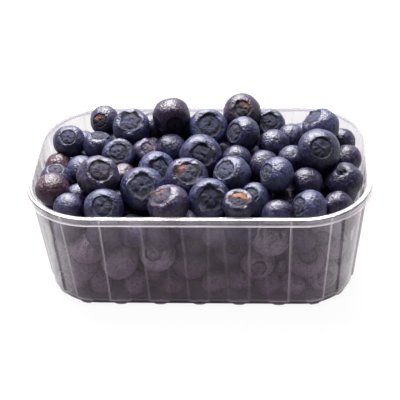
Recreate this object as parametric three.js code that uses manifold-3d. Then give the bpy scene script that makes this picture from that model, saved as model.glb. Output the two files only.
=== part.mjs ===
// A punnet of blueberries: a clear tapered tray with a turned-down rim, vertical ribs and small feet,
// and the heap of berries that fills it and stands above the rim.
// Millimetres, +Z up. The origin is the middle of the footprint, on the surface that the feet stand on.

import * as THREE from "three";
import { mergeVertices } from "three/addons/utils/BufferGeometryUtils.js";
import Module from "manifold-3d";

// Driving dimensions of the tray.
const trayLength = 145;
const trayDepth = 90;
const trayHeight = 49;
const cornerRadius = 30;
const flangeWidth = 3;
const lipDrop = 2.8;
const wallThickness = 0.6;
const wallTaper = 5.5;
const baseLift = 1.2;
const baseFillet = 2;
const filletMiddle = 0.3 * baseFillet;
const rimEase = 0.2;

// Ribs pressed outward in the wall, and the foot under each rib.
const ribCount = 24;
const ribDepth = 0.9;
const ribHalfWidthTop = 5.2;
const ribHalfWidthBottom = 3.7;
const ribFlank = 0.7;
const ribTopDrop = 1.6;
const footRadius = 2.7;
const footSoleRadius = 2;
const footSides = 8;

// The heap of berries: it fills the tray, and its top berries stand out of it.
const heapGap = 0.35;
const heapSideHeight = 41;
const heapShoulderHeight = 45;
const heapShoulderInset = 6;
const heapCrownHeight = 49;
const heapCrownReach = 8;
const heapCrownRise = 1;
const heapFloorInset = 0.5;
const heapLowRise = 1.5;
const heapStations = 48;

// One berry: a small one has fewer facets, and each is turned a little further than the one before.
const berrySquash = 0.92;
const berryDetail = 1;
const smallBerryRadius = 6.6;
const smallBerrySides = 8;
const smallBerryRings = 4;
const berryTurns = [1.7, 0.9, 2.3];
const contactDrop = 0.25;

// Berries on the top of the heap, row by row from the front: [x, y, z of the middle, diameter].
const topBerries = [
  [-53, -27, 42, 12], [-38, -32, 46, 16], [-25, -34, 42, 13], [-11, -32, 47, 17], [6, -31, 49, 17],
  [17, -34, 48, 13], [25, -26, 48, 15], [30, -33, 42, 15], [37, -27, 45, 13], [46, -32, 46, 15],
  [57, -28, 46, 12],
  [-61, -13, 43, 14], [-51, -19, 44, 13], [-40, -20, 54, 17], [-22, -20, 47, 18], [-4, -14, 48, 18],
  [14, -14, 50, 16], [32, -18, 51, 15], [45, -18, 49, 13], [60, -10, 45, 16],
  [-61, -2, 42, 13], [-51, -5, 45, 13], [-34, 0, 51, 14], [-18, -6, 51, 14], [1, -2, 54, 18],
  [16, -2, 51, 13], [27, -5, 50, 14], [39, 0, 49, 13], [50, -4, 56, 18], [62, 6, 44, 12],
  [-62, 8, 44, 12], [-58, 15, 49, 14], [-45, 10, 50, 13], [-30, 12, 57, 16], [-23, 4, 48, 13],
  [-13, 8, 51, 13], [2, 13, 56, 17], [18, 8, 56, 15], [31, 8, 51, 13], [51, 14, 56, 16],
  [60, 17, 46, 12],
  [-43, 24, 53, 13], [-13, 18, 59, 16], [18, 23, 59, 16], [29, 21, 53, 13], [38, 18, 48, 13],
  [-54, 25, 45, 13], [-33, 29, 49, 15], [-18, 32, 48, 15], [-2, 30, 50, 15], [12, 34, 47, 14],
  [28, 32, 47, 15], [44, 28, 48, 14], [56, 26, 45, 12],
];

// The plan of the tray is a plain rectangle with its corners on the centres of the corner arcs.
// Each outline round it stands off by the same reach all the way, so a lathe makes the whole tray
// once its quarters are pulled apart to the corners of that rectangle.
const coreHalfLength = trayLength / 2 - cornerRadius;
const coreHalfDepth = trayDepth / 2 - cornerRadius;
const wallTopReach = cornerRadius - flangeWidth;
const wallBottomReach = wallTopReach - wallTaper;
const wallTopHeight = trayHeight - wallThickness;
const wallBottomHeight = baseLift + baseFillet;

// Corners of a skin closer together than this are one corner.
const mergeDistance = 1e-3;

const wasm = await Module();
wasm.setup();

// A station at this distance along the outline, measured on the top edge of the wall:
// the point on the inner rectangle that it springs from, and its direction outward.
function stationAt(distance) {
  const arc = (Math.PI / 2) * wallTopReach;
  const sides = [2 * coreHalfLength, 2 * coreHalfDepth, 2 * coreHalfLength, 2 * coreHalfDepth];
  const starts = [
    [-coreHalfLength, -coreHalfDepth],
    [coreHalfLength, -coreHalfDepth],
    [coreHalfLength, coreHalfDepth],
    [-coreHalfLength, coreHalfDepth],
  ];
  const around = sides.reduce((sum, side) => sum + side + arc, 0);
  let left = (((distance + coreHalfLength) % around) + around) % around;
  for (let i = 0; i < sides.length; i += 1) {
    const along = (i * Math.PI) / 2;
    if (left <= sides[i]) {
      return {
        x: starts[i][0] + left * Math.cos(along),
        y: starts[i][1] + left * Math.sin(along),
        outward: along - Math.PI / 2,
      };
    }
    left -= sides[i];
    if (left < arc) {
      const corner = starts[(i + 1) % starts.length];
      return { x: corner[0], y: corner[1], outward: along - Math.PI / 2 + left / wallTopReach };
    }
    left -= arc;
  }
  return { x: starts[0][0], y: starts[0][1], outward: -Math.PI / 2 };
}

const outlineLength = 4 * (coreHalfLength + coreHalfDepth) + 2 * Math.PI * wallTopReach;
const ribPitch = outlineLength / ribCount;

function ribHalfWidth(height) {
  const up = THREE.MathUtils.clamp(height / trayHeight, 0, 1);
  return THREE.MathUtils.lerp(ribHalfWidthBottom, ribHalfWidthTop, up);
}

// Five stations to a rib: the outer ends and the edges of its two flanks, and its middle.
const stationsPerRib = 5;

function ribStation(index, height) {
  const half = ribHalfWidth(height);
  const offsets = [-half - ribFlank, -half, 0, half, half + ribFlank];
  const rib = Math.floor(index / stationsPerRib);
  const offset = offsets[index % stationsPerRib];
  return {
    ...stationAt(rib * ribPitch + offset),
    bulge: Math.abs(offset) <= half ? ribDepth : 0,
  };
}

// Turns a lathe's profile points [reach, height, ribbed] into a closed skin round the tray.
function trayLathe(profile, stationCount, stationFor) {
  const points = profile.map(([reach, height]) => new THREE.Vector2(reach, height));
  const lathe = new THREE.LatheGeometry(points, stationCount);
  const position = lathe.getAttribute("position");
  for (let i = 0; i <= stationCount; i += 1) {
    profile.forEach(([reach, height, ribbed], j) => {
      const station = stationFor(i % stationCount, height);
      const out = reach + (ribbed ? station.bulge : 0);
      const spread = reach > 0 ? 1 : 0;
      position.setXYZ(
        i * profile.length + j,
        station.x * spread + out * Math.cos(station.outward),
        station.y * spread + out * Math.sin(station.outward),
        height,
      );
    });
  }
  return lathe;
}

// A closed geometry as a manifold solid.
function solidOf(geometry) {
  const bare = geometry.clone();
  bare.deleteAttribute("normal");
  bare.deleteAttribute("uv");
  const merged = mergeVertices(bare, mergeDistance);
  return new wasm.Manifold(
    new wasm.Mesh({
      numProp: 3,
      vertProperties: merged.getAttribute("position").array,
      triVerts: new Uint32Array(merged.index.array),
    }),
  );
}

// A manifold solid as a geometry again.
function geometryOf(solid) {
  const mesh = solid.getMesh();
  const geometry = new THREE.BufferGeometry();
  geometry.setAttribute("position", new THREE.BufferAttribute(mesh.vertProperties, 3));
  geometry.setIndex(new THREE.BufferAttribute(mesh.triVerts, 1));
  geometry.computeVertexNormals();
  return geometry;
}

// The tray's section from the middle of its underside, up its outside, over the rim and down inside.
function trayProfile() {
  const lipInside = cornerRadius - wallThickness;
  const lipBottom = trayHeight - lipDrop;
  const ribTop = wallTopHeight - ribTopDrop;
  const ribTopReach = wallTopReach - (wallTaper * ribTopDrop) / (wallTopHeight - wallBottomHeight);
  const inside = wallThickness;
  return [
    [0, baseLift],
    [wallBottomReach - baseFillet, baseLift],
    [wallBottomReach - filletMiddle, baseLift + filletMiddle, true],
    [wallBottomReach, wallBottomHeight, true],
    [ribTopReach, ribTop, true],
    [wallTopReach, wallTopHeight],
    [lipInside, wallTopHeight],
    [lipInside, lipBottom],
    [cornerRadius, lipBottom],
    [cornerRadius - rimEase, trayHeight],
    [wallTopReach - rimEase, trayHeight],
    [ribTopReach - inside, ribTop, true],
    [wallBottomReach - inside, wallBottomHeight + inside / 2, true],
    [wallBottomReach - baseFillet, baseLift + inside],
    [0, baseLift + inside],
  ];
}

function makeTray() {
  const stations = ribCount * stationsPerRib;
  let tray = solidOf(trayLathe(trayProfile(), stations, ribStation));
  const footHeight = baseLift + wallThickness / 2;
  for (let i = 0; i < ribCount; i += 1) {
    const station = stationAt(i * ribPitch);
    const reach = wallBottomReach - footRadius + ribDepth / 2;
    const foot = new THREE.CylinderGeometry(footRadius, footSoleRadius, footHeight, footSides);
    foot.rotateX(Math.PI / 2);
    foot.rotateZ(station.outward);
    foot.translate(
      station.x + reach * Math.cos(station.outward),
      station.y + reach * Math.sin(station.outward),
      footHeight / 2,
    );
    tray = tray.add(solidOf(foot));
  }
  return geometryOf(tray);
}

// How far the inside of the wall reaches at this height.
function innerReach(height) {
  const up = (height - wallBottomHeight) / (wallTopHeight - wallBottomHeight);
  return wallBottomReach - wallThickness + wallTaper * up;
}

// The middle of a berry, drawn inward where the berry would come closer to the wall than the gap.
function tuckIn(x, y, z, radius) {
  const cornerX = THREE.MathUtils.clamp(x, -coreHalfLength, coreHalfLength);
  const cornerY = THREE.MathUtils.clamp(y, -coreHalfDepth, coreHalfDepth);
  const reach = Math.hypot(x - cornerX, y - cornerY);
  const most = innerReach(Math.min(z - contactDrop * radius, trayHeight)) - heapGap - radius;
  const share = reach > most ? most / reach : 1;
  return [cornerX + (x - cornerX) * share, cornerY + (y - cornerY) * share, z];
}

// A faceted berry, a little wider than tall, turned so that no two show the same facets.
function makeBerry(place, radius, turn) {
  const berry =
    radius > smallBerryRadius
      ? new THREE.IcosahedronGeometry(radius, berryDetail)
      : new THREE.SphereGeometry(radius, smallBerrySides, smallBerryRings);
  berry.scale(1, 1, berrySquash);
  berry.rotateX(turn * berryTurns[0]);
  berry.rotateY(turn * berryTurns[1]);
  berry.rotateZ(turn * berryTurns[2]);
  berry.translate(...place);
  return solidOf(berry);
}

function heapProfile() {
  const floor = baseLift + wallThickness + heapGap;
  const low = wallBottomHeight + heapLowRise;
  const shoulder = innerReach(heapShoulderHeight) - heapShoulderInset;
  return [
    [0, floor],
    [wallBottomReach - baseFillet - heapFloorInset, floor],
    [innerReach(low) - heapGap, low],
    [innerReach(heapSideHeight) - heapGap, heapSideHeight],
    [shoulder, heapShoulderHeight],
    [heapCrownReach, heapCrownHeight],
    [0, heapCrownHeight + heapCrownRise],
  ];
}

function makeHeap() {
  const plainStation = (index) => stationAt((index * outlineLength) / heapStations);
  let heap = solidOf(trayLathe(heapProfile(), heapStations, plainStation));
  topBerries.forEach(([x, y, z, diameter], i) => {
    heap = heap.add(makeBerry(tuckIn(x, y, z, diameter / 2), diameter / 2, i));
  });
  return geometryOf(heap);
}

const clearPlastic = new THREE.MeshStandardMaterial({
  color: 0xf1f3f4,
  roughness: 0.12,
  metalness: 0,
  transparent: true,
  opacity: 0.3,
});
const berrySkin = new THREE.MeshStandardMaterial({ color: 0x2b3048, roughness: 0.55, metalness: 0 });

const punnet = new THREE.Group();

const tray = new THREE.Mesh(makeTray(), clearPlastic);
tray.name = "punnet_tray";
punnet.add(tray);

const heap = new THREE.Mesh(makeHeap(), berrySkin);
heap.name = "berry_heap";
punnet.add(heap);

export default punnet;
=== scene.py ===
import math
import random

import bmesh
import bpy
from mathutils import Matrix, Vector, kdtree, noise


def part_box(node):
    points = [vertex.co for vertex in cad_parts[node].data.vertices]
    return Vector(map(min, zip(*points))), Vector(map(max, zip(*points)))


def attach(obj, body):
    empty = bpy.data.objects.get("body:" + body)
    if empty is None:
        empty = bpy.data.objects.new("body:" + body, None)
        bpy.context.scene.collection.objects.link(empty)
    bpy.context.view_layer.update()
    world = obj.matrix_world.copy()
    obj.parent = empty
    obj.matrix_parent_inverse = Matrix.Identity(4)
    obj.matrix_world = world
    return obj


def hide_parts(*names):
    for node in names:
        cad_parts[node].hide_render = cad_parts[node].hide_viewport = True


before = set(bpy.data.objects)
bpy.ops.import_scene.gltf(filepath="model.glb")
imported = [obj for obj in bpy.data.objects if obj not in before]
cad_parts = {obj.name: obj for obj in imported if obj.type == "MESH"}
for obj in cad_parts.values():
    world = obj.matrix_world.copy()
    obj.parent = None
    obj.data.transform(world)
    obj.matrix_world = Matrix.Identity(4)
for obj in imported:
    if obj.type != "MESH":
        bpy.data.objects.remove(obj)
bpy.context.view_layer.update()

mm = 0.001

trayLow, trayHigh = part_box("punnet_tray")
rimHeight = trayHigh.z
print("frame loaded, tray", [round(v / mm, 1) for v in (trayHigh - trayLow)], "mm")


def smooth(low, high, value):
    t = max(0.0, min(1.0, (value - low) / (high - low)))
    return t * t * (3 - 2 * t)


def addPiece(name, bm, material, node=None):
    mesh = bpy.data.meshes.new(name)
    bm.to_mesh(mesh)
    bm.free()
    piece = bpy.data.objects.new(name, mesh)
    bpy.context.scene.collection.objects.link(piece)
    mesh.materials.append(material)
    for face in mesh.polygons:
        face.use_smooth = True
    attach(piece, "root")
    if node:
        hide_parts(node)
    print(name, len(mesh.polygons), "faces")
    return piece


def newMaterial(name):
    material = bpy.data.materials.new(name)
    material.use_nodes = True
    material.node_tree.nodes.clear()
    return material, material.node_tree.nodes, material.node_tree.links


def mathNode(nodes, links, operation, a, b=None, clamp=False):
    node = nodes.new("ShaderNodeMath")
    node.operation = operation
    node.use_clamp = clamp
    for socket, value in zip(node.inputs, (a, b)):
        if value is None:
            continue
        if isinstance(value, (int, float)):
            socket.default_value = value
        else:
            links.new(value, socket)
    return node.outputs[0]


def mixColour(nodes, links, factor, a, b, blend="MIX"):
    node = nodes.new("ShaderNodeMix")
    node.data_type = "RGBA"
    node.blend_type = blend
    for socket, value in ((node.inputs[0], factor), (node.inputs[6], a), (node.inputs[7], b)):
        if isinstance(value, (int, float)):
            socket.default_value = value
        elif isinstance(value, tuple):
            socket.default_value = (*value, 1)
        else:
            links.new(value, socket)
    return node.outputs[2]


def attribute(nodes, name):
    node = nodes.new("ShaderNodeAttribute")
    node.attribute_name = name
    return node.outputs["Fac"]


def noiseNode(nodes, links, coordinates, size, detail=2.0, roughness=0.5):
    # size is the width of one blotch, in metres
    node = nodes.new("ShaderNodeTexNoise")
    node.inputs["Scale"].default_value = 1 / size
    node.inputs["Detail"].default_value = detail
    node.inputs["Roughness"].default_value = roughness
    links.new(coordinates, node.inputs["Vector"])
    return node.outputs["Fac"]


def vectorNode(nodes, links, operation, a, b=None):
    node = nodes.new("ShaderNodeVectorMath")
    node.operation = operation
    links.new(a, node.inputs[0])
    if b is not None:
        node.inputs[1].default_value = b
    return node.outputs["Value" if operation == "LENGTH" else "Vector"]


def rangeNode(nodes, links, value, low, high, toLow=0.0, toHigh=1.0):
    node = nodes.new("ShaderNodeMapRange")
    node.interpolation_type = "SMOOTHSTEP"
    links.new(value, node.inputs["Value"])
    node.inputs["From Min"].default_value = low
    node.inputs["From Max"].default_value = high
    node.inputs["To Min"].default_value = toLow
    node.inputs["To Max"].default_value = toHigh
    return node.outputs["Result"]


tray = {
    "cornerRadius": 30 * mm,
    "flangeWidth": 3 * mm,
    "rimRadius": 0.7 * mm,
    "lipDrop": 2.95 * mm,
    "lipStep": 0.45 * mm,
    "wallTaper": 5.5 * mm,
    "wallThickness": 0.45 * mm,
    "baseLift": 1.15 * mm,
    "baseFillet": 1.0 * mm,
    "baseRows": 12,
    "baseRowGap": 0.5 * mm,
    "baseMiddle": 8 * mm,
    "longSideFlare": 0.03,
    "ribCount": 24,
    "ribDepth": 0.7 * mm,
    "ribHalfWidthTop": 5.2 * mm,
    "ribHalfWidthBottom": 3.7 * mm,
    "ribFlank": 0.8 * mm,
    "ribCrease": 0.3 * mm,
    "ribTopDrop": 1.4 * mm,
    "ribTopFade": 1.1 * mm,
    "ribBottomFade": 2 * mm,
    "footRadius": 2.9 * mm,
    "footEdge": 0.9 * mm,
    "footInset": 1.9 * mm,
    "footBlend": 0.2 * mm,
    "baseStrip": 3 * mm,
    "lipStart": 1 * mm,
    "wallSlack": 0.2 * mm,
    "ribTopSlack": 0.5 * mm,
}

# rows of points on the tray's section, in millimetres, close together where the sheet bends
sectionRows = {
    "lip": ((0, 0), (0.03, 0.05), (0.38, 0.2), (0.45, 0.3), (0.45, 0.5), (0.45, 0.8), (0.45, 1.3),
            (0.45, 1.55), (0.45, 1.8)),  # in and up from the lip's lower edge
    "flange": (1.0, 0.8, 0.6, 0.3),  # out from the curve into the wall
    "wallDown": (-0.4, 0, 0.4, 0.8, 1.2, 1.8, 2.8, 4.5, 7),  # down from the top of the ribs
    "wallUp": (30, 20, 13, 8, 5, 3.2, 2.2, 1.6, 1.3, 1.1, 0.9, 0.5, 0),  # up from the wall's foot
}

coreHalfLength = trayHigh.x - tray["cornerRadius"]
coreHalfDepth = trayHigh.y - tray["cornerRadius"]
wallTopReach = tray["cornerRadius"] - tray["flangeWidth"]
wallBottomReach = wallTopReach - tray["wallTaper"]
wallBottomHeight = tray["baseLift"] + tray["baseFillet"]
ribTopHeight = rimHeight - tray["ribTopDrop"]
outlineLength = 4 * (coreHalfLength + coreHalfDepth) + math.tau * wallTopReach
ribPitch = outlineLength / tray["ribCount"]


def stationAt(distance):
    # a point on the inner rectangle and the direction outward, this far round the wall's top edge
    arc = math.pi / 2 * wallTopReach
    sides = [2 * coreHalfLength, 2 * coreHalfDepth] * 2
    corners = [
        Vector((-coreHalfLength, -coreHalfDepth, 0)),
        Vector((coreHalfLength, -coreHalfDepth, 0)),
        Vector((coreHalfLength, coreHalfDepth, 0)),
        Vector((-coreHalfLength, coreHalfDepth, 0)),
    ]
    left = (distance + coreHalfLength) % outlineLength
    for i in range(4):
        along = i * math.pi / 2
        if left <= sides[i]:
            foot = corners[i] + left * Vector((math.cos(along), math.sin(along), 0))
            return foot, along - math.pi / 2
        left -= sides[i]
        if left < arc:
            return corners[(i + 1) % 4], along - math.pi / 2 + left / wallTopReach
        left -= arc
    return corners[0], -math.pi / 2


def onOutline(distance, reach, height):
    foot, outward = stationAt(distance)
    return foot + Vector((reach * math.cos(outward), reach * math.sin(outward), height))


def innerReach(height):
    # how far the berries may stand off the inner rectangle at this height
    up = (height - wallBottomHeight) / (rimHeight - wallBottomHeight)
    return wallBottomReach + tray["wallTaper"] * up - tray["wallThickness"]


def ribHalfWidth(height):
    up = max(0.0, min(1.0, height / rimHeight))
    return tray["ribHalfWidthBottom"] * (1 - up) + tray["ribHalfWidthTop"] * up


stationsPerRib = 18


def ribStation(index, height):
    # distance round the outline, 1 on the rib's face and 0 beside it, and 1 along the fold between
    half = ribHalfWidth(height)
    crease = tray["ribCrease"]
    foot = half + tray["ribFlank"]
    steps = [(0, 1, 0), (half / 4, 1, 0), (half / 2, 1, 0), (half * 3 / 4, 1, 0), (half - crease, 1, 0),
             (half, 1, 1), (half + crease, 0.6, 0), (foot, 0, 0.3), (foot + crease, 0, 0),
             (ribPitch / 2, 0, 0)]
    k = index % stationsPerRib
    offset, face, slope = steps[k] if k < len(steps) else steps[stationsPerRib - k]
    if k >= len(steps):
        offset = ribPitch - offset
        slope = -slope
    return (index // stationsPerRib) * ribPitch + offset, face, slope


def arcPoints(centre, radius, start, end, steps):
    turns = [math.radians(start + (end - start) * i / steps) for i in range(steps + 1)]
    return [(centre[0] + radius * math.cos(a), centre[1] + radius * math.sin(a)) for a in turns]


def traySection():
    # from the lip's lower edge, over the rim, down the wall and in under the base
    lipLow = rimHeight - tray["lipDrop"]
    points = [(tray["cornerRadius"] - inward * mm, lipLow + rise * mm)
              for inward, rise in sectionRows["lip"]]
    lipReach = tray["cornerRadius"] - tray["lipStep"]
    edge = tray["rimRadius"]
    points += arcPoints((lipReach - edge, rimHeight - edge), edge, 0, 90, 4)
    points += [(wallTopReach + edge + out * mm, rimHeight) for out in sectionRows["flange"]]
    points += arcPoints((wallTopReach + edge, rimHeight - edge), edge, 90, 172, 4)
    heights = [ribTopHeight - drop * mm for drop in sectionRows["wallDown"]]
    heights += [wallBottomHeight + rise * mm for rise in sectionRows["wallUp"]]
    for height in heights:
        up = (height - wallBottomHeight) / (rimHeight - wallBottomHeight)
        points.append((wallBottomReach + tray["wallTaper"] * up, height))
    fillet = tray["baseFillet"]
    points += arcPoints((wallBottomReach - fillet, wallBottomHeight), fillet, -10, -90, 6)[1:]
    for i in range(1, tray["baseRows"] + 1):
        points.append((wallBottomReach - fillet - i * tray["baseRowGap"], tray["baseLift"]))
    points.append((tray["baseMiddle"], tray["baseLift"]))
    return points


# where painted highlights (white) and painted shade (grey) lie on the clear sheet, in millimetres: a ramp
# has its start and its end
sheetLightRamps = {
    "rimTop": (-0.08, -0.01),  # up from the rim
    "flangeTop": (-0.7, -0.5),
    "rimOut": (1.45, 1.75),  # out from the wall's top
    "lipEdge": (0.5, 0.2),  # up from the lip's lower edge
    "ledge": (-1.3, -0.7),  # up from the top of the ribs
    "low": (1.4, 0.2),  # up from the wall's foot
    "ends": (0, 12),  # out from where the long sides end
    "flanks": (12, 50),  # out from the middle of the tray
}
# and a band has its middle, half its full width, and how far off it is gone
sheetLightBands = {
    "strip": (1.95, 0.2, 0.35),  # out from the wall's top
    "innerBend": (1.15, 0.2, 0.35),
    "outerBend": (2.45, 0.1, 0.2),
    "lipFold": (-1.4, 0.05, 0.3),  # up from the rim
    "shoulder": (0, 0.1, 0.6),  # up from the top of the ribs
    "baseLine": (1.1, 0.1, 0.4),  # up from the wall's foot
}
# how far an outward direction has to point to the back, from -1 at the front to 1: the painted highlights
# and painted shade are made stronger or weaker with it from the front side to the back
sideRamps = {
    "front": (-0.8, -0.98),
    "frontHalf": (0.3, -0.3),
    "back": (0.3, 0.9),
}
sheetLightStrengths = {
    "rim": 0.4,
    "rimElsewhere": 0.15,  # share of the front's painted highlight that the rim keeps on the other sides
    "strip": 0.1,
    "lipEdge": 0.8,
    "lipElsewhere": 0.45,
    "lipFold": 0.25,
    "shoulder": 0.35,
    "ledge": 0.2,
    "baseLine": 0.4,
    "flankMiddle": 0.08,
    "flankEnds": 0.58,
    "flankInner": 0.05,
    "flankBackFade": 0.85,
    "bend": 0.8,
    "low": 0.9,
    "foot": 0.95,
    "crease": 0.5,
}


def ramp(name, value):
    start, end = sheetLightRamps[name]
    return smooth(start * mm, end * mm, value)


def band(name, value):
    middle, full, gone = sheetLightBands[name]
    return smooth(gone * mm, full * mm, abs(value - middle * mm))


def paintedSheetLight(distance, reach, height, place, rib, onWall, knob):
    # how much painted highlight (white) and how much painted shade (grey) the sheet gets here, each from
    # 0 to 1
    face, slope, ribbed = rib
    strength = sheetLightStrengths
    backward = math.sin(stationAt(distance)[1])
    inFront = smooth(*sideRamps["front"], backward)
    frontHalf = smooth(*sideRamps["frontHalf"], backward)
    fromWall = reach - wallTopReach
    fromRim = height - rimHeight
    fromRibs = height - ribTopHeight
    fromFoot = height - wallBottomHeight
    onLip = fromWall > tray["lipStart"]
    # painted highlight on the rim and the lip, full on the front side and weaker on the others
    rim = ramp("rimTop", fromRim) * ramp("rimOut", fromWall)
    elsewhere = strength["rimElsewhere"] - strength["strip"] * band("strip", fromWall)
    rim *= inFront + (1 - inFront) * elsewhere
    lipShare = strength["lipElsewhere"] + (1 - strength["lipElsewhere"]) * inFront
    lipEdge = ramp("lipEdge", fromRim + tray["lipDrop"]) * lipShare if onLip else 0.0
    lipFold = band("lipFold", fromRim) if onLip else 0.0
    # painted shade: thin grey lines run along the flange where it bends
    bend = max(band("innerBend", fromWall), band("outerBend", fromWall))
    bend *= (1 - inFront) * ramp("flangeTop", fromRim) * frontHalf
    # a painted highlight lies on the fold on the side of the rib that looks away from the middle of the
    # tray, and it grows stronger towards the ends; the fold on the other side gets little, and near the
    # ends it gets a line of painted shade
    outerSide = slope * (place.x * math.copysign(1, -place.y)) > 0
    flanks = abs(slope) * ribbed * (1 - strength["flankBackFade"] * smooth(*sideRamps["back"], backward))
    crease = 0.0
    if outerSide:
        flanks *= strength["flankMiddle"] + strength["flankEnds"] * ramp("flanks", abs(place.x))
    else:
        flanks *= strength["flankInner"]
        crease = ramp("ends", abs(place.x) - coreHalfLength) * abs(slope) * ribbed * frontHalf
    ledge = face * ramp("ledge", fromRibs) * ribbed
    shoulder = band("shoulder", fromRibs) if onWall else 0.0
    # painted shade: a dark band along the wall's foot, darkest on the knobs
    low = ramp("low", fromFoot) if reach > wallBottomReach - tray["baseStrip"] else 0.0
    white = max(strength["rim"] * rim, strength["lipEdge"] * lipEdge, strength["lipFold"] * lipFold,
                strength["shoulder"] * shoulder, strength["ledge"] * ledge, flanks,
                strength["baseLine"] * band("baseLine", fromFoot))
    grey = max(strength["bend"] * bend, strength["low"] * low, strength["foot"] * knob * low,
               strength["crease"] * crease)
    return white, grey


def makeTray():
    bm = bmesh.new()
    edgeLayer = bm.verts.layers.float.new("edge")
    dimLayer = bm.verts.layers.float.new("dim")
    verts = [bm.verts.new((reach, 0, height)) for reach, height in traySection()]
    edges = [bm.edges.new(pair) for pair in zip(verts, verts[1:])]
    stations = tray["ribCount"] * stationsPerRib
    bmesh.ops.spin(bm, geom=verts + edges, cent=(0, 0, 0), axis=(0, 0, 1), dvec=(0, 0, 0),
                   angle=math.tau, steps=stations, use_merge=True)
    footDrop = tray["baseLift"] - tray["wallThickness"]
    for vert in bm.verts:
        reach = math.hypot(vert.co.x, vert.co.y)
        height = vert.co.z
        index = round(math.atan2(vert.co.y, vert.co.x) / math.tau * stations) % stations
        distance, face, slope = ribStation(index, height)
        onWall = (reach < wallTopReach + tray["wallSlack"]
                  and height < ribTopHeight + tray["ribTopSlack"])
        ribbed = smooth(ribTopHeight, ribTopHeight - tray["ribTopFade"], height) if onWall else 0.0
        ribbed *= smooth(wallBottomHeight, wallBottomHeight + tray["ribBottomFade"], height)
        place = onOutline(distance, reach + tray["ribDepth"] * face * ribbed, height)
        # the knob that the rib ends in stands under the base
        middle = round(index / stationsPerRib) * ribPitch
        foot = onOutline(middle, wallBottomReach - tray["footInset"], 0)
        away = (Vector((place.x, place.y, 0)) - foot).length
        knob = smooth(tray["footRadius"], tray["footRadius"] - tray["footEdge"], away)
        if height < wallBottomHeight:
            belowWall = smooth(wallBottomHeight, tray["baseLift"] + tray["footBlend"], height)
            place.z -= footDrop * knob * belowWall
        vert.co = place
        # the long sides stand a little steeper than the ends
        vert.co.y *= 1 + tray["longSideFlare"] * (1 - height / rimHeight)
        white, grey = paintedSheetLight(distance, reach, height, place, (face, slope, ribbed), onWall, knob)
        # the painted highlight goes into the edge attribute and the painted shade into the dim attribute
        vert[edgeLayer] = white
        vert[dimLayer] = grey
    inner = [e for e in bm.edges if e.is_boundary and e.verts[0].co.z < rimHeight / 2]
    bmesh.ops.edgeloop_fill(bm, edges=inner)
    bmesh.ops.recalc_face_normals(bm, faces=bm.faces)
    return bm


plasticLook = {
    "gloss": 0.035,
    "glossPower": 4,
    "glossTint": (0.97, 0.94, 0.96),
    "roughness": 0.06,
    "tint": (0.97, 0.96, 0.97),
    # the colour that the painted shade darkens the light through the sheet towards
    "dimTint": (0.2, 0.17, 0.2),
    "haze": 0.046,
    "hazeSpread": (0.6, 1.4),
    "cloudSize": 14 * mm,
    "cloudRange": (0.3, 0.7),
    "deepHaze": 6,
    "white": (0.94, 0.91, 0.94),
    "whiteRoughness": 0.2,
    # how white the painted highlight makes the sheet
    "paintedHighlight": 0.85,
    "rippleSize": 12 * mm,
    "rippleDepth": 0.2 * mm,
    "rippleStrength": 0.05,
}


def clearPlastic():
    material, nodes, links = newMaterial("clear_plastic")
    look = plasticLook
    coordinates = nodes.new("ShaderNodeTexCoord").outputs["Object"]
    edge = attribute(nodes, "edge")
    through = nodes.new("ShaderNodeBsdfTransparent")
    # painted shade: where the dim attribute is high, the light through the sheet is darkened towards
    # dimTint
    links.new(mixColour(nodes, links, attribute(nodes, "dim"), look["tint"], look["dimTint"]),
              through.inputs["Color"])
    gloss = nodes.new("ShaderNodeBsdfGlossy")
    gloss.inputs["Color"].default_value = (*look["glossTint"], 1)
    gloss.inputs["Roughness"].default_value = look["roughness"]
    # mirror share: a little straight on, rising at a glancing angle, the same on both sides of the sheet
    facing = nodes.new("ShaderNodeLayerWeight").outputs["Facing"]
    glancing = mathNode(nodes, links, "POWER", facing, look["glossPower"])
    glossShare = mathNode(nodes, links, "MULTIPLY_ADD", glancing, 1 - look["gloss"])
    glossShare.node.inputs[2].default_value = look["gloss"]
    clear = nodes.new("ShaderNodeMixShader")
    links.new(glossShare, clear.inputs[0])
    links.new(through.outputs[0], clear.inputs[1])
    links.new(gloss.outputs[0], clear.inputs[2])
    # the sheet is slightly milky, in clouds, more so at a glancing angle; where the edge attribute is
    # high it is also painted white, a painted highlight along the rim, the lip and the rib folds
    cloud = noiseNode(nodes, links, coordinates, look["cloudSize"], 3)
    least, most = [look["haze"] * share for share in look["hazeSpread"]]
    haze = rangeNode(nodes, links, cloud, *look["cloudRange"], least, most)
    deeper = mathNode(nodes, links, "MULTIPLY_ADD", mathNode(nodes, links, "POWER", facing, 2),
                      look["deepHaze"])
    deeper.node.inputs[2].default_value = 1
    haze = mathNode(nodes, links, "MULTIPLY", haze, deeper)
    highlightWhite = mathNode(nodes, links, "MULTIPLY", edge, look["paintedHighlight"])
    share = mathNode(nodes, links, "ADD", haze, highlightWhite, clamp=True)
    white = nodes.new("ShaderNodeBsdfPrincipled")
    white.inputs["Base Color"].default_value = (*look["white"], 1)
    white.inputs["Roughness"].default_value = look["whiteRoughness"]
    ripple = noiseNode(nodes, links, coordinates, look["rippleSize"], 2)
    bump = nodes.new("ShaderNodeBump")
    bump.inputs["Strength"].default_value = look["rippleStrength"]
    bump.inputs["Distance"].default_value = look["rippleDepth"]
    links.new(ripple, bump.inputs["Height"])
    for target in (gloss, white):
        links.new(bump.outputs[0], target.inputs["Normal"])
    milky = nodes.new("ShaderNodeMixShader")
    links.new(share, milky.inputs[0])
    links.new(clear.outputs[0], milky.inputs[1])
    links.new(white.outputs[0], milky.inputs[2])
    output = nodes.new("ShaderNodeOutputMaterial")
    links.new(milky.outputs[0], output.inputs["Surface"])
    return material


trayPiece = addPiece("tray_shell", makeTray(), clearPlastic(), "punnet_tray")
wall = trayPiece.modifiers.new("wall", "SOLIDIFY")
wall.thickness = tray["wallThickness"]
wall.offset = -1
wall.use_even_offset = True


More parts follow.
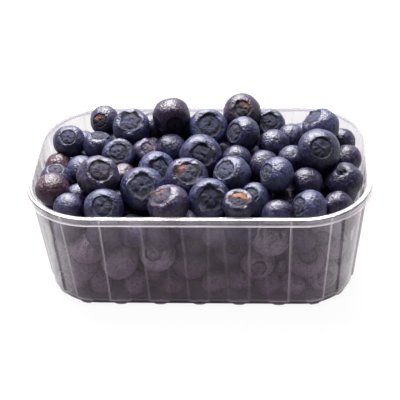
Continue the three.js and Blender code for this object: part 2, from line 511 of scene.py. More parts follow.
heap = {
    "seed": 23,
    "gap": 0.4 * mm,
    "closeness": 0.97,
    "floorHeight": 1.4 * mm,
    "fillTop": 43.5 * mm,
    "fillRadius": (6.2, 8.3),  # radii, rows, insets, gaps and jitter with no unit are in millimetres
    "fillRed": (0, 0.5),
    "fillBloom": (0.4, 0.9),
    "fillKinds": ["plain", "plain", "ring", "star"],
    "wallRows": 3,
    "perRow": 22,
    "firstRow": 10,
    "rowGap": 13,
    "rowInset": (7.5, 9.5),
    "layerHeights": (10 * mm, 40 * mm),
    "layerCounts": (8, 3),
    "layerGaps": (13.5, 14.5),
    "jitter": 2,
    "smallRadius": (4.9, 5.8),
    "smallHeight": 6.5 * mm,
    "smallWallHeight": 7 * mm,
    "smallInset": 5.5 * mm,
    "alongJitter": 0.15,
    "rounds": 90,
    "pushShare": 0.8,
    "shownGives": 0.08,  # share of a push that a shown berry takes from a hidden one
    "shownPull": 0.25,
    "fillPull": 0.02,
}

# Berries with a place of their own: the top of the heap, then a row along the back wall that is
# made up, then some against the front wall. Each has x, y, z and diameter in millimetres, its kind,
# how far its end leans right and up of straight to the front, redness and bloom from 0 to about 1,
# and on a few how dry and brown the crown is.
shownBerries = [
    (-53, -29, 44, 12, "plain", 0.0, 0.3, 0.2, 0.7),
    (-38, -32, 46, 16, "ring", 0.0, 0.15, 0.1, 0.7),
    (-11, -32, 47, 17, "star", -0.45, 0.65, 0.4, 0.6, 0.4),
    (5, -28, 47, 17, "star", 0.05, 0.05, 0.1, 0.7),
    (17, -35, 49, 13, "star", 0.05, 0.6, 0.15, 0.5, 0.75),
    (24, -25, 46, 14, "ring", -0.4, 0.3, 0.1, 0.8),
    (36, -22, 42, 12, "plain", 0.2, 0.3, 0.2, 0.3),
    (46, -32, 46, 15, "ring", -0.8, 0.2, 0.1, 0.7),
    (58, -28, 44, 12, "plain", 0.3, 0.2, 0.2, 0.3),
    (-61, -19, 46, 14, "plain", 0.2, 0.5, 0.9, 0.5),
    (-51, -18, 42, 12, "plain", 0.0, 0.3, 0.2, 0.3),
    (-41, -18, 52, 17, "shrivelled", 0.2, 0.35, 0.4, 0.6),
    (-32, -10, 47, 11, "plain", 0.3, 0.5, 0.8, 0.5),
    (-22, -20, 48, 18, "star", 0.0, 0.2, 0.1, 0.8),
    (-4, -15, 49, 18, "star", 0.1, 0.4, 0.2, 0.7, 0.3),
    (14, -15, 51, 16, "ring", -0.5, 0.4, 0.1, 0.8),
    (32, -20, 53, 15, "ring", -0.8, 0.25, 0.1, 0.9),
    (45, -18, 49, 13, "plain", 0.2, 0.4, 0.1, 0.3),
    (61, -12, 46, 16, "closed", -0.2, 0.65, 0.1, 0.4),
    (-62, -7, 44, 13, "ring", 0.1, 0.75, 0.2, 0.6),
    (-52, 0, 43, 13, "plain", 0.2, 0.3, 0.1, 0.7),
    (-34, 2, 50, 14, "star", 0.05, 0.25, 0.1, 0.7),
    (-19, -6, 47, 16, "star", 0.3, 0.15, 0.1, 0.8),
    (0, 1, 50, 18, "star", 0.05, 0.1, 0.2, 0.8),
    (16, -1, 50, 12, "plain", 0.0, 0.3, 0.1, 0.4),
    (27, -3, 48, 13, "plain", 0.3, 0.3, 0.2, 0.6),
    (39, 0, 49, 12, "plain", 0.1, 0.4, 0.1, 0.5),
    (50, -5, 56, 18, "ring", 0.05, 0.15, 0.1, 0.6),
    (63, 5, 46, 12, "plain", 0.3, 0.3, 0.2, 0.4),
    (-63, 5, 43, 12, "plain", -0.3, 0.3, 1.0, 0.3),
    (-58, 12, 49, 14, "ring", 0.0, 0.35, 0.1, 0.6),
    (-45, 11, 49, 13, "star", 0.1, 0.85, 0.1, 0.6),
    (-30, 16, 54, 16, "star", 0.0, 0.45, 0.1, 0.7),
    (-24, 6, 49, 11, "shrivelled", 0.3, 0.3, 0.3, 1.15, 0.3),
    (-14, 8, 49, 13, "plain", 0.2, 0.2, 0.1, 0.5),
    (1, 17, 53, 17, "star", 0.1, 0.2, 0.1, 0.8),
    (18, 10, 55, 15, "ring", -0.75, 0.15, 0.1, 0.6),
    (31, 10, 50, 13, "plain", 0.1, 0.3, 0.1, 0.5),
    (51, 14, 56, 16, "star", -0.55, 0.7, 0.1, 0.8),
    (60, 18, 46, 12, "plain", 0.2, 0.2, 0.1, 0.5),
    (-43, 24, 53, 13, "ring", -0.35, 0.0, 0.25, 0.5, 0.6),
    (-13, 19, 58, 16, "ring", 0.2, -0.6, 0.3, 0.2),
    (-22, 23, 50, 13, "plain", 0.2, 0.3, 0.2, 0.3),
    (-6, 23, 50, 12, "plain", 0.2, 0.3, 0.2, 0.3),
    (-21, 14, 45, 12, "plain", 0.2, 0.3, 0.2, 0.3),
    (-37, 19, 46, 12, "plain", 0.2, 0.3, 0.2, 0.3),
    (17, 25, 57, 16, "star", 0.0, 0.2, 0.4, 0.4, 0.35),
    (29, 27, 49, 13, "star", -0.1, 0.2, 0.1, 0.6),
    (38, 19, 48, 12, "plain", 0.1, 0.3, 0.2, 0.6),
    (-54, 25, 40, 13, "ring", 0.3, -0.9, 0.1, 0.6),
    (-33, 31, 44, 14, "star", 0.2, -0.95, 0.2, 0.7),
    (-18, 33, 43, 14, "plain", 0.2, -0.8, 0.1, 0.6),
    (-2, 33, 43, 15, "ring", -0.2, -0.9, 0.1, 0.7),
    (13, 34, 42, 14, "plain", 0.2, -0.8, 0.1, 0.5),
    (28, 34, 40, 14, "star", 0.1, -0.95, 0.3, 0.6),
    (43, 29, 41, 14, "ring", 0.3, -0.9, 0.1, 0.7),
    (56, 26, 38, 12, "plain", 0.2, -0.8, 0.1, 0.5),
    (-26, -31, 34, 14, "plain", 0.1, 0.4, 0.2, 0.7),
    (8, -33, 35, 13, "plain", 0.0, 0.4, 0.3, 0.6),
    (30, -30, 33, 18, "star", 0.0, 0.1, 0.4, 0.7, 0.3),
    (-34, -29, 17, 16, "plain", 0.2, 0.2, 0.2, 0.7),
    (-17, -30, 22, 15, "ring", -0.3, 0.2, 0.2, 0.7),
    (-3, -31, 30, 13, "plain", 0.2, 0.3, 0.3, 0.7),
    (-4, -28, 16, 15, "plain", 0.2, 0.2, 0.2, 0.7),
    (13, -30, 25, 13, "ring", 0.2, 0.2, 0.2, 0.7),
    (45, -29, 19, 16, "ring", 0.1, 0.3, 0.2, 0.7),
]

# the direction of the camera's own view, which crowns are leaned from
viewAzimuth = math.radians(4.8)
viewElevation = math.radians(33)
toFront = Vector((math.sin(viewAzimuth) * math.cos(viewElevation),
                  -math.cos(viewAzimuth) * math.cos(viewElevation), math.sin(viewElevation)))
toRight = Vector((0, 0, 1)).cross(toFront).normalized()
toUp = toFront.cross(toRight)


def leaning(right, up):
    out = math.sqrt(max(0.0, 1 - right * right - up * up))
    return (toRight * right + toUp * up + toFront * out).normalized()


def keepInside(place, radius):
    # back inside the wall and off the floor
    foot = Vector((max(-coreHalfLength, min(coreHalfLength, place.x)),
                   max(-coreHalfDepth, min(coreHalfDepth, place.y)), 0))
    away = Vector((place.x, place.y, 0)) - foot
    most = innerReach(min(place.z - radius * 0.15, rimHeight)) - heap["gap"] - radius
    if away.length > most:
        away *= most / away.length
    return Vector((foot.x + away.x, foot.y + away.y, max(place.z, heap["floorHeight"] + radius)))


def randomDirection(rng):
    height = rng.uniform(-1, 1)
    turn = rng.uniform(0, math.tau)
    flat = math.sqrt(1 - height * height)
    return Vector((flat * math.cos(turn), flat * math.sin(turn), height))


def fillBerry(rng, place):
    radius = rng.uniform(*heap["fillRadius"]) * mm
    kind = rng.choice(heap["fillKinds"])
    return {"place": place, "home": place.copy(), "radius": radius, "kind": kind, "shown": False,
            "crown": randomDirection(rng), "red": rng.uniform(*heap["fillRed"]),
            "bloom": rng.uniform(*heap["fillBloom"]), "dry": 0.0}


def layBerries():
    rng = random.Random(heap["seed"])
    berries = []
    for x, y, z, diameter, kind, right, up, red, bloom, *dry in shownBerries:
        place = Vector((x, y, z)) * mm
        # a plain berry has its stem end turned away
        away = -1 if kind == "plain" else 1
        berries.append({"place": place, "home": place.copy(), "radius": diameter / 2 * mm,
                        "kind": kind, "shown": True, "crown": leaning(right, up) * away,
                        "red": red, "bloom": bloom, "dry": sum(dry)})
    jitter = heap["jitter"]
    along = heap["alongJitter"]
    # rows against the wall
    for row in range(heap["wallRows"]):
        height = (heap["firstRow"] + heap["rowGap"] * row) * mm
        for i in range(heap["perRow"]):
            distance = (i + 0.5 * row + rng.uniform(-along, along)) * outlineLength / heap["perRow"]
            reach = innerReach(height) - rng.uniform(*heap["rowInset"]) * mm
            lift = rng.uniform(-jitter, jitter) * mm
            berries.append(fillBerry(rng, onOutline(distance, reach, height + lift)))
    # a layer on the floor and one under the top of the heap
    across, deep = heap["layerCounts"]
    gapAcross, gapDeep = heap["layerGaps"]
    for height in heap["layerHeights"]:
        for i in range(across):
            for j in range(deep):
                x = (i - (across - 1) / 2) * gapAcross
                y = (j - (deep - 1) / 2) * gapDeep
                place = Vector((x, y, height / mm)) * mm
                place += Vector([rng.uniform(-jitter, jitter) * mm for n in range(3)])
                berries.append(fillBerry(rng, place))
    # small ones low down, in the gaps of the first row
    smallReach = innerReach(heap["smallWallHeight"]) - heap["smallInset"]
    for i in range(heap["perRow"]):
        distance = (i + 0.5 + rng.uniform(-along, along)) * outlineLength / heap["perRow"]
        small = fillBerry(rng, onOutline(distance, smallReach, heap["smallHeight"]))
        small["radius"] = rng.uniform(*heap["smallRadius"]) * mm
        berries.append(small)
    return berries


def pushShare(berry, other):
    if berry["shown"] == other["shown"]:
        return 0.5
    return heap["shownGives"] if berry["shown"] else 1 - heap["shownGives"]


def settle(berries):
    # Pushes berries apart, round after round. The shown ones keep their places as far as they can, and
    # where berries lie thick some overlap is left.
    largest = max(b["radius"] for b in berries)
    for turn in range(heap["rounds"]):
        tree = kdtree.KDTree(len(berries))
        for i, berry in enumerate(berries):
            tree.insert(berry["place"], i)
        tree.balance()
        pushes = [Vector((0, 0, 0)) for berry in berries]
        for i, berry in enumerate(berries):
            for place, j, distance in tree.find_range(berry["place"], berry["radius"] + largest):
                other = berries[j]
                overlap = (berry["radius"] + other["radius"]) * heap["closeness"] - distance
                if j == i or overlap <= 0:
                    continue
                away = (berry["place"] - other["place"]).normalized()
                pushes[i] += away * overlap * pushShare(berry, other)
        for berry, push in zip(berries, pushes):
            pull = heap["shownPull"] if berry["shown"] else heap["fillPull"]
            berry["place"] += push * heap["pushShare"] + (berry["home"] - berry["place"]) * pull
            if not berry["shown"]:
                berry["place"].z = min(berry["place"].z, heap["fillTop"])
            berry["place"] = keepInside(berry["place"], berry["radius"])
    return berries


# the painted veil on the low berries: first heights and distances from the middle, in millimetres,
# between which the change comes; the rest are shares
wallVeilPaint = {
    "deep": (38, 28),
    "deepest": (28, 8),
    "underRim": (44, 40),
    "frontward": (-6, -18),
    "redder": (0.2, 0.8),
    "paler": (0.2, 1.0),
    "palerEverywhere": 0.45,
    "palerDeepest": 0.5,
    "palerAtBack": 0.2,
}


def between(name, value):
    start, end = wallVeilPaint[name]
    return smooth(start * mm, end * mm, value)


def paintVeilAtWall(berries):
    # Low berries are painted redder and paler than the top ones, most of all at the front. It is a
    # painted veil, standing in for part of the reflection and haze that the sheet lays over them: without
    # the tray they look too pale.
    look = wallVeilPaint
    rng = random.Random(heap["seed"] + 1)
    for berry in berries:
        height = berry["place"].z
        deep = between("deep", height)
        berry["red"] = min(1.0, berry["red"] + deep * rng.uniform(*look["redder"]))
        paler = (look["palerEverywhere"] + deep) * rng.uniform(*look["paler"])
        paler += look["palerDeepest"] * between("deepest", height)
        paler *= between("underRim", height)
        frontward = between("frontward", berry["place"].y)
        berry["bloom"] += paler * (look["palerAtBack"] + (1 - look["palerAtBack"]) * frontward)


berries = settle(layBerries())
paintVeilAtWall(berries)
moved = max((b["place"] - b["home"]).length for b in berries if b["shown"])
print("berries laid", len(berries), "furthest shown berry moved", round(moved / mm, 1), "mm")


berryShape = {
    "shownSeed": 100,
    "fillSeed": 200,
    "steps": 40,
    "rings": 20,
    "fillSteps": 24,
    "fillRings": 11,
    "stemEnd": -0.95,
    "swell": 1.02,
    "squash": (0.84, 0.95),
    "lump": 0.05,
    "lumpScale": 1.4,
    "smallLumpShare": 0.35,
    "smallLumpScale": 3.5,
    "shrivelledLump": 2.2,
    "foldScale": (3, 3, 9),
    "foldDepth": 0.05,
    "crownLump": 0.07,
    "crownLumpScale": 7,
    "crownSink": 0.35,
    "lobes": 5,
    "lobeSizes": (0.25, 1.4),
    "lobeSkew": (0.05, 0.3),
    "lobeLift": (0.7, 1.2),
    "lobeRise": (0.1, -0.07),
    "lobeSpread": (0.26, -0.12),
}

# each kind: reach and height of points from the middle of its crown out to where the skin goes on
crownSections = {
    "star": [(0, 0.84), (0.025, 0.845), (0.05, 0.87), (0.09, 0.88), (0.16, 0.875), (0.21, 0.868),
             (0.27, 0.857), (0.33, 0.835), (0.38, 0.815), (0.42, 0.83), (0.455, 0.872), (0.49, 0.892),
             (0.53, 0.876), (0.565, 0.842), (0.61, 0.80)],
    "ring": [(0, 0.85), (0.025, 0.855), (0.05, 0.885), (0.09, 0.895), (0.17, 0.89), (0.24, 0.882),
             (0.31, 0.872), (0.38, 0.852), (0.425, 0.82), (0.45, 0.825), (0.475, 0.852), (0.505, 0.864),
             (0.54, 0.848), (0.58, 0.82)],
    "closed": [(0, 0.98), (0.03, 1.0), (0.06, 1.05), (0.1, 1.085), (0.14, 1.07), (0.18, 1.03),
               (0.22, 0.99), (0.27, 0.96), (0.32, 0.94), (0.37, 0.925), (0.42, 0.905), (0.48, 0.877),
               (0.54, 0.842)],
    "plain": [(0, 0.93), (0.03, 0.93), (0.06, 0.935), (0.085, 0.955), (0.11, 0.975), (0.14, 0.982),
              (0.18, 0.98), (0.23, 0.972), (0.28, 0.96), (0.34, 0.94), (0.41, 0.912), (0.48, 0.877),
              (0.54, 0.842)],
}
crownSections["shrivelled"] = crownSections["ring"]
crownReach = {"star": 0.56, "ring": 0.53, "closed": 0.3, "plain": 0.12, "shrivelled": 0.53}
creaseReach = {"star": 0.41, "ring": 0.44, "closed": 0.08, "shrivelled": 0.44}
crownSize = {"star": (1.0, 1.3), "ring": (0.95, 1.15), "closed": (0.9, 1.1), "plain": (1.0, 1.0),
             "shrivelled": (1.0, 1.2)}
lobeLift = {"star": 1.0, "ring": 0.25, "closed": 0.7, "plain": 0.0, "shrivelled": 0.4}


def berryDie(kind, steps, rings):
    # one berry of radius 1 with its crown up
    bm = bmesh.new()
    section = crownSections[kind]
    start = math.asin(section[-1][0])
    points = list(section)
    for i in range(1, rings + 1):
        angle = start + (math.pi - start) * i / rings
        points.append((math.sin(angle), math.cos(angle)))
    points[-1] = (0, berryShape["stemEnd"])
    verts = [bm.verts.new((reach, 0, height)) for reach, height in points]
    edges = [bm.edges.new(pair) for pair in zip(verts, verts[1:])]
    bmesh.ops.spin(bm, geom=verts + edges, cent=(0, 0, 0), axis=(0, 0, 1), dvec=(0, 0, 0),
                   angle=math.tau, steps=steps, use_merge=True)
    bmesh.ops.remove_doubles(bm, verts=bm.verts, dist=1e-5)
    bmesh.ops.recalc_face_normals(bm, faces=bm.faces)
    return bm


skinAttributes = ("crown", "crease", "red", "bloom", "brown")
# shares of the berry's radius: ramps out from the crown's edge
crownRamps = {
    "part": (0.04, -0.03),
    "inside": (-0.01, -0.06),
    "lobeInner": (-0.24, -0.08),
    "lobeOuter": (0.05, -0.03),
    "drawn": (0.45, 0),
    "sunk": (0.4, -0.1),
}
crownMarks = {
    "creaseWidth": (0.1, 0.03),
    "creaseGaps": (-0.35, 0.15),
    "creaseGapScale": 3,
    "pit": (0.06, 0.01),
    "brownSide": (0.75, 1.2),
    "brownOut": (0.06, 0.16),
    "brownMost": 1.4,
}


def fromEdge(name, edge, reach):
    start, end = crownRamps[name]
    return smooth(edge + start, edge + end, reach)


def growBerry(die, berry, rng):
    shape = berryShape
    marks = crownMarks
    bm = die.copy()
    crownLayer, creaseLayer, redLayer, bloomLayer, brownLayer = [
        bm.verts.layers.float.new(name) for name in skinAttributes]
    kind = berry["kind"]
    squash = rng.uniform(*shape["squash"])
    shift = Vector([rng.uniform(-50, 50) for n in range(3)])
    turn = rng.uniform(0, math.tau)
    edge = crownReach[kind]
    size = rng.uniform(*crownSize[kind])
    lift = lobeLift[kind] * rng.uniform(*shape["lobeLift"])
    dry = berry["dry"]
    lump = shape["lump"] * (shape["shrivelledLump"] if kind == "shrivelled" else 1.0)
    aim = berry["crown"].to_track_quat("Z", "Y").to_matrix() @ Matrix.Rotation(turn, 3, "Z")
    lobes = shape["lobes"]
    lobeSizes = [rng.uniform(*shape["lobeSizes"]) for n in range(lobes)]
    skew = rng.uniform(*shape["lobeSkew"])
    skewTurn = rng.uniform(0, math.tau)
    patchTurn = rng.uniform(-1, 1)
    patchSide = toUp * math.cos(patchTurn) + toRight * math.sin(patchTurn)
    brownStart, brownEnd = marks["brownSide"]
    rise, riseStart = shape["lobeRise"]
    spreading, spreadStart = shape["lobeSpread"]
    for vert in bm.verts:
        co = vert.co.copy()
        reach = math.hypot(co.x, co.y)
        around = math.atan2(co.y, co.x) % math.tau / math.tau * lobes
        around = (around + skew * math.sin(around / lobes * math.tau + skewTurn)) % lobes
        top = co.z > 0
        part = fromEdge("part", edge, reach) if top else 0.0
        inside = fromEdge("inside", edge, reach) if top else 0.0
        crease = 0.0
        if top and kind in creaseReach:
            crease = smooth(*marks["creaseWidth"], abs(reach - creaseReach[kind]))
        pit = smooth(*marks["pit"], reach) if top else 0.0
        if top and lift > 0:
            lobe = (1 - abs(2 * (around % 1) - 1)) * lobeSizes[int(around) % lobes]
            share = fromEdge("lobeInner", edge, reach) * fromEdge("lobeOuter", edge, reach)
            co.z += share * lift * (rise * lobe + riseStart)
            spread = 1 + share * lift * (spreading * lobe + spreadStart)
            co.x *= spread
            co.y *= spread
        if top and kind != "plain":
            # the crown is drawn in or out a little as a whole
            drawn = 1 + (size - 1) * fromEdge("drawn", edge, reach)
            co.x *= drawn
            co.y *= drawn
            co.z -= max(0.0, size - 1) * shape["crownSink"] * fromEdge("sunk", edge, reach)
        direction = co.normalized()
        swell = noise.noise(direction * shape["lumpScale"] + shift) * lump
        swell += noise.noise(direction * shape["smallLumpScale"] + shift) * lump * shape["smallLumpShare"]
        if kind == "shrivelled":
            folds = noise.noise(direction * Vector(shape["foldScale"]) + shift)
            swell -= abs(folds) * shape["foldDepth"]
        if part > 0:
            swell += noise.noise(co * shape["crownLumpScale"] + shift) * shape["crownLump"] * part
        co *= 1 + swell
        co.z *= squash
        vert.co = aim @ co * berry["radius"] * shape["swell"] + berry["place"]
        side = (aim @ Vector((co.x, co.y, 0))).normalized().dot(patchSide)
        vert[crownLayer] = inside
        # the crease attribute carries painted shade: near black in the crown's groove, broken in places,
        # and in the pit at the crown's middle
        gaps = smooth(*marks["creaseGaps"], noise.noise(co * marks["creaseGapScale"] + shift))
        vert[creaseLayer] = max(pit, crease * gaps)
        vert[redLayer] = berry["red"]
        vert[bloomLayer] = berry["bloom"]
        patch = smooth(brownStart - dry, brownEnd - dry, side) * smooth(*marks["brownOut"], reach)
        vert[brownLayer] = min(1.0, marks["brownMost"] * dry) * patch * inside
    return bm


def joinBerries(kind, shown, seed):
    rng = random.Random(seed)
    steps = berryShape["steps"] if shown else berryShape["fillSteps"]
    rings = berryShape["rings"] if shown else berryShape["fillRings"]
    die = berryDie(kind, steps, rings)
    joined = bmesh.new()
    for name in skinAttributes:
        joined.verts.layers.float.new(name)
    for berry in berries:
        if berry["kind"] != kind or berry["shown"] != shown:
            continue
        grown = growBerry(die, berry, rng)
        one = bpy.data.meshes.new("one berry")
        grown.to_mesh(one)
        grown.free()
        joined.from_mesh(one)
        bpy.data.meshes.remove(one)
    die.free()
    return joined


skinLook = {
    "dark": (0.007, 0.005, 0.023),
    "red": (0.032, 0.007, 0.014),
    "bloom": (0.031, 0.039, 0.11),
    "redBloom": (0.052, 0.028, 0.056),
    # the pale tone: a painted veil on the low berries, and on one shrivelled berry its own paler skin
    "pale": (0.52, 0.43, 0.54),
    "paleRange": (0.9, 2.3),
    "paleRubbed": 0.35,
    # the colour of the painted shade in the crown's groove and pit
    "crease": (0.005, 0.003, 0.007),
    "crownGrey": (0.016, 0.015, 0.018),
    "crownShade": 0.65,
    "brown": (0.21, 0.078, 0.03),
    "brownRange": (0.42, 0.52),
    "patchSize": 5 * mm,
    "patchShare": 0.8,
    "streakSize": 1.7 * mm,
    "streakShare": 1.1,
    "grainSize": 0.8 * mm,
    "grainShare": 0.9,
    "bloomShare": 0.5,
    "bloomMost": 0.8,
    "coverRange": (1.5, 2.0),
    "reliefGrain": 0.5,
    "reliefDepth": 0.5 * mm,
    "reliefStrength": 0.9,
    "bareRoughness": 0.33,
    "bloomRoughness": 0.48,
    "crownRoughness": 0.85,
    "specular": 0.55,
}


def berrySkin():
    material, nodes, links = newMaterial("blueberry_skin")
    look = skinLook
    coordinates = nodes.new("ShaderNodeTexCoord").outputs["Object"]
    crown, crease, red, bloom, brown = [attribute(nodes, name) for name in skinAttributes]
    patches = noiseNode(nodes, links, coordinates, look["patchSize"], 4, 0.6)
    streaks = noiseNode(nodes, links, coordinates, look["streakSize"], 3, 0.7)
    grains = noiseNode(nodes, links, coordinates, look["grainSize"], 1, 0.5)
    # bloom lies in patches and streaks, and is rubbed off between them
    amount = mathNode(nodes, links, "MULTIPLY", patches, look["patchShare"])
    usual = mathNode(nodes, links, "MINIMUM", bloom, look["bloomMost"])
    for source, share in ((streaks, "streakShare"), (grains, "grainShare"), (usual, "bloomShare")):
        part = mathNode(nodes, links, "MULTIPLY", source, look[share])
        amount = mathNode(nodes, links, "ADD", amount, part)
    cover = rangeNode(nodes, links, amount, *look["coverRange"])
    bare = mixColour(nodes, links, red, look["dark"], look["red"])
    wax = mixColour(nodes, links, red, look["bloom"], look["redBloom"])
    colour = mixColour(nodes, links, cover, bare, wax)
    # past the usual bloom a pale tone is painted over the skin, thinner where the bloom is rubbed: on the
    # low berries it is the painted veil of the sheet, on one shrivelled berry a paler skin of its own
    thick = mathNode(nodes, links, "MULTIPLY_ADD", cover, 1 - look["paleRubbed"])
    thick.node.inputs[2].default_value = look["paleRubbed"]
    pale = mathNode(nodes, links, "MULTIPLY", thick, rangeNode(nodes, links, bloom, *look["paleRange"]))
    colour = mixColour(nodes, links, pale, colour, look["pale"])
    # inside the crown the skin is darker and greyer, and dry and brown in places; the near-black in the
    # crown's groove and in the pit at its middle is painted shade
    shaded = mixColour(nodes, links, look["crownShade"], look["crownGrey"], colour)
    crownColour = mixColour(nodes, links, crease, shaded, look["crease"])
    dry = mathNode(nodes, links, "MULTIPLY", brown, rangeNode(nodes, links, streaks, *look["brownRange"]))
    crownColour = mixColour(nodes, links, dry, crownColour, look["brown"])
    colour = mixColour(nodes, links, crown, colour, crownColour)
    bump = nodes.new("ShaderNodeBump")
    bump.inputs["Strength"].default_value = look["reliefStrength"]
    bump.inputs["Distance"].default_value = look["reliefDepth"]
    fine = mathNode(nodes, links, "MULTIPLY", grains, look["reliefGrain"])
    links.new(mathNode(nodes, links, "ADD", streaks, fine), bump.inputs["Height"])
    roughness = rangeNode(nodes, links, cover, 0, 1, look["bareRoughness"], look["bloomRoughness"])
    dull = mathNode(nodes, links, "MULTIPLY", crown, look["crownRoughness"])
    roughness = mathNode(nodes, links, "MAXIMUM", roughness, dull)
    shader = nodes.new("ShaderNodeBsdfPrincipled")
    links.new(colour, shader.inputs["Base Color"])
    links.new(roughness, shader.inputs["Roughness"])
    shader.inputs["Specular IOR Level"].default_value = look["specular"]
    links.new(bump.outputs[0], shader.inputs["Normal"])
    output = nodes.new("ShaderNodeOutputMaterial")
    links.new(shader.outputs[0], output.inputs["Surface"])
    return material


skin = berrySkin()
for number, kind in enumerate(crownSections):
    joined = joinBerries(kind, True, berryShape["shownSeed"] + number)
    addPiece(kind + "_berries", joined, skin, "berry_heap")
for number, kind in enumerate(["plain", "ring", "star"]):
    joined = joinBerries(kind, False, berryShape["fillSeed"] + number)
    addPiece("lower_" + kind + "_berries", joined, skin, "berry_heap")


# the dark middle of the heap, under and behind the berries that can be seen: a dark body that stands for
# the painted shade deep in the heap
core = {
    "inset": 10 * mm,
    "low": 2 * mm,
    "shoulder": 37 * mm,
    "top": 43 * mm,
    "lowEdge": 3 * mm,
    "widening": 3 * mm,
    "sideRows": 5,
    "shoulderRise": 4 * mm,
    "topInset": 5 * mm,
    "topDrop": 1.5 * mm,
    "middle": 2 * mm,
    "stations": 96,
    "lumpSize": 7 * mm,
    "lumpDepth": 2 * mm,
    "colour": (0.007, 0.004, 0.01),
}


def makeCore():
    bm = bmesh.new()
    side = wallBottomReach - core["inset"]
    sideLow = core["low"] + core["lowEdge"]
    section = [(core["middle"], core["low"]), (side - core["lowEdge"], core["low"]), (side, sideLow)]
    for i in range(1, core["sideRows"] + 1):
        up = i / core["sideRows"]
        section.append((side + core["widening"] * up, sideLow + (core["shoulder"] - sideLow) * up))
    section += [(side, core["shoulder"] + core["shoulderRise"]),
                (side - core["topInset"], core["top"] - core["topDrop"]), (core["middle"], core["top"])]
    verts = [bm.verts.new((reach, 0, height)) for reach, height in section]
    edges = [bm.edges.new(pair) for pair in zip(verts, verts[1:])]
    bmesh.ops.spin(bm, geom=verts + edges, cent=(0, 0, 0), axis=(0, 0, 1), dvec=(0, 0, 0),
                   angle=math.tau, steps=core["stations"], use_merge=True)
    for vert in bm.verts:
        reach = math.hypot(vert.co.x, vert.co.y)
        turn = math.atan2(vert.co.y, vert.co.x) % math.tau / math.tau
        vert.co = onOutline(turn * outlineLength, reach, vert.co.z)
    bmesh.ops.holes_fill(bm, edges=[e for e in bm.edges if e.is_boundary], sides=0)
    bmesh.ops.recalc_face_normals(bm, faces=bm.faces)
    for vert in bm.verts:
        vert.co += vert.normal * noise.noise(vert.co / core["lumpSize"]) * core["lumpDepth"]
    return bm


def coreShade():
    material, nodes, links = newMaterial("deep_shade")
    shader = nodes.new("ShaderNodeBsdfDiffuse")
    shader.inputs["Color"].default_value = (*core["colour"], 1)
    output = nodes.new("ShaderNodeOutputMaterial")
    links.new(shader.outputs[0], output.inputs["Surface"])
    return material


addPiece("heap_core", makeCore(), coreShade(), "berry_heap")


studio = {
    "floorSize": 4,
    "floorSeen": 0.95,
    "floorGlow": 0.97,
    "shadeReach": 8 * mm,
    "shadeOpen": 0.8,
    "deepShade": 0.93,
    "footShadow": (-1.7 * mm, -1.2 * mm),  # out from the wall's foot
    "footShade": 0.02,
    "bounceMiddle": Vector((0, -75, 0)) * mm,
    "bounceSpan": (0.085, 0.05, 1),
    "bounceFade": (0.6, 1.3),
    "floorBounce": 0.28,
    "bounceColour": (1, 0.76, 1),
    "sideBounce": 0.9,
    "backLight": 1.0,
    "frontLight": 0.05,
    "backdropFade": (-0.2, 0.8),
    "keySize": 0.8,
    "keyPlace": (-0.15, 0.42, 0.8),
    "keyPower": 44,
}


def makeFloor():
    bm = bmesh.new()
    bmesh.ops.create_grid(bm, x_segments=1, y_segments=1, size=studio["floorSize"])
    mesh = bpy.data.meshes.new("floor")
    bm.to_mesh(mesh)
    bm.free()
    floor = bpy.data.objects.new("floor", mesh)
    bpy.context.scene.collection.objects.link(floor)
    mesh.materials.append(paleFloor())


def paleFloor():
    material, nodes, links = newMaterial("pale_floor")
    here = nodes.new("ShaderNodeTexCoord").outputs["Object"]
    # The camera sees a white floor with a soft shadow. What the floor throws on the object is set
    # apart from that: dim and tinted by the front wall, brighter and white further off.
    lit = nodes.new("ShaderNodeBsdfDiffuse")
    lit.inputs["Color"].default_value = (*[studio["floorSeen"]] * 3, 1)
    glow = nodes.new("ShaderNodeEmission")
    shade = nodes.new("ShaderNodeAmbientOcclusion")
    shade.inputs["Distance"].default_value = studio["shadeReach"]
    # how far a place lies outside the tray's foot: a painted shadow, dark below it and open beside it,
    # both where the camera sees the floor and in the light the floor throws
    folded = vectorNode(nodes, links, "ABSOLUTE", here)
    folded = vectorNode(nodes, links, "DIVIDE", folded, (1, 1 + tray["longSideFlare"], 1))
    folded = vectorNode(nodes, links, "SUBTRACT", folded, (coreHalfLength, coreHalfDepth, 0))
    reach = vectorNode(nodes, links, "LENGTH", vectorNode(nodes, links, "MAXIMUM", folded, (0, 0, 0)))
    covered, free = [wallBottomReach + out for out in studio["footShadow"]]
    beside = rangeNode(nodes, links, reach, covered, free, studio["footShade"], 1)
    openness = rangeNode(nodes, links, shade.outputs["AO"], 0, studio["shadeOpen"],
                         studio["deepShade"], 1)
    links.new(mathNode(nodes, links, "MULTIPLY", openness, beside), glow.inputs["Strength"])
    seen = nodes.new("ShaderNodeMixShader")
    seen.inputs[0].default_value = studio["floorGlow"]
    links.new(lit.outputs[0], seen.inputs[1])
    links.new(glow.outputs[0], seen.inputs[2])
    bounce = nodes.new("ShaderNodeEmission")
    moved = vectorNode(nodes, links, "SUBTRACT", here, studio["bounceMiddle"])
    away = vectorNode(nodes, links, "LENGTH",
                      vectorNode(nodes, links, "DIVIDE", moved, studio["bounceSpan"]))
    thrown = rangeNode(nodes, links, away, *studio["bounceFade"], studio["floorBounce"],
                       studio["sideBounce"])
    links.new(mathNode(nodes, links, "MULTIPLY", thrown, beside), bounce.inputs["Strength"])
    sideways = rangeNode(nodes, links, away, *studio["bounceFade"])
    tinted = mixColour(nodes, links, sideways, studio["bounceColour"], (1, 1, 1))
    links.new(tinted, bounce.inputs["Color"])
    path = nodes.new("ShaderNodeLightPath")
    pick = nodes.new("ShaderNodeMixShader")
    links.new(path.outputs["Is Camera Ray"], pick.inputs[0])
    links.new(bounce.outputs[0], pick.inputs[1])
    links.new(seen.outputs[0], pick.inputs[2])
    output = nodes.new("ShaderNodeOutputMaterial")
    links.new(pick.outputs[0], output.inputs["Surface"])
    return material


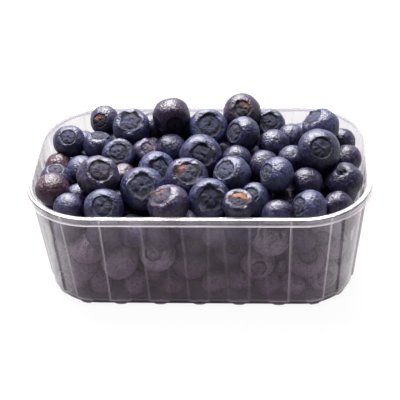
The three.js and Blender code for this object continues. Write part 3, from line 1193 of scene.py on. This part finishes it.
def makeLights():
    key = bpy.data.lights.new("softbox", "AREA")
    key.shape = "SQUARE"
    key.size = studio["keySize"]
    key.energy = studio["keyPower"]
    lamp = bpy.data.objects.new("softbox", key)
    lamp.location = studio["keyPlace"]
    lamp.rotation_euler = (Vector((0, 0, 0)) - lamp.location).to_track_quat("-Z", "Y").to_euler()
    bpy.context.scene.collection.objects.link(lamp)
    # the backdrop behind is bright and the room in front is dim, but the camera sees it all white
    world = bpy.data.worlds.new("studio")
    world.use_nodes = True
    nodes, links = world.node_tree.nodes, world.node_tree.links
    direction = nodes.new("ShaderNodeTexCoord").outputs["Generated"]
    parts = nodes.new("ShaderNodeSeparateXYZ")
    links.new(direction, parts.inputs[0])
    strength = rangeNode(nodes, links, parts.outputs["Y"], *studio["backdropFade"],
                         studio["frontLight"], studio["backLight"])
    path = nodes.new("ShaderNodeLightPath")
    both = nodes.new("ShaderNodeMix")
    links.new(path.outputs["Is Camera Ray"], both.inputs[0])
    links.new(strength, both.inputs[2])
    both.inputs[3].default_value = 1  # as the camera sees it
    links.new(both.outputs[0], nodes["Background"].inputs["Strength"])
    nodes["Background"].inputs["Color"].default_value = (1, 1, 1, 1)
    bpy.context.scene.world = world
    bpy.context.scene.view_settings.view_transform = "Standard"


camera = {
    "distance": 600 * mm,
    "lens": 127.4,
    "sensor": 36,
    "near": 0.05,
    "far": 20,
    "aim": Vector((-1, 0, 28)) * mm,
    "roll": math.radians(-2.7),
}


def makeCamera():
    data = bpy.data.cameras.new("camera")
    data.lens = camera["lens"]
    data.sensor_width = camera["sensor"]
    data.clip_start = camera["near"]
    data.clip_end = camera["far"]
    eye = bpy.data.objects.new("camera", data)
    bpy.context.scene.collection.objects.link(eye)
    place = Vector((0, 0, rimHeight)) + toFront * camera["distance"]
    turn = (camera["aim"] - place).to_track_quat("-Z", "Y").to_matrix().to_4x4()
    eye.matrix_world = Matrix.Translation(place) @ turn @ Matrix.Rotation(camera["roll"], 4, "Z")
    bpy.context.scene.camera = eye


makeFloor()
makeLights()
makeCamera()
print("floor, light and camera in place")
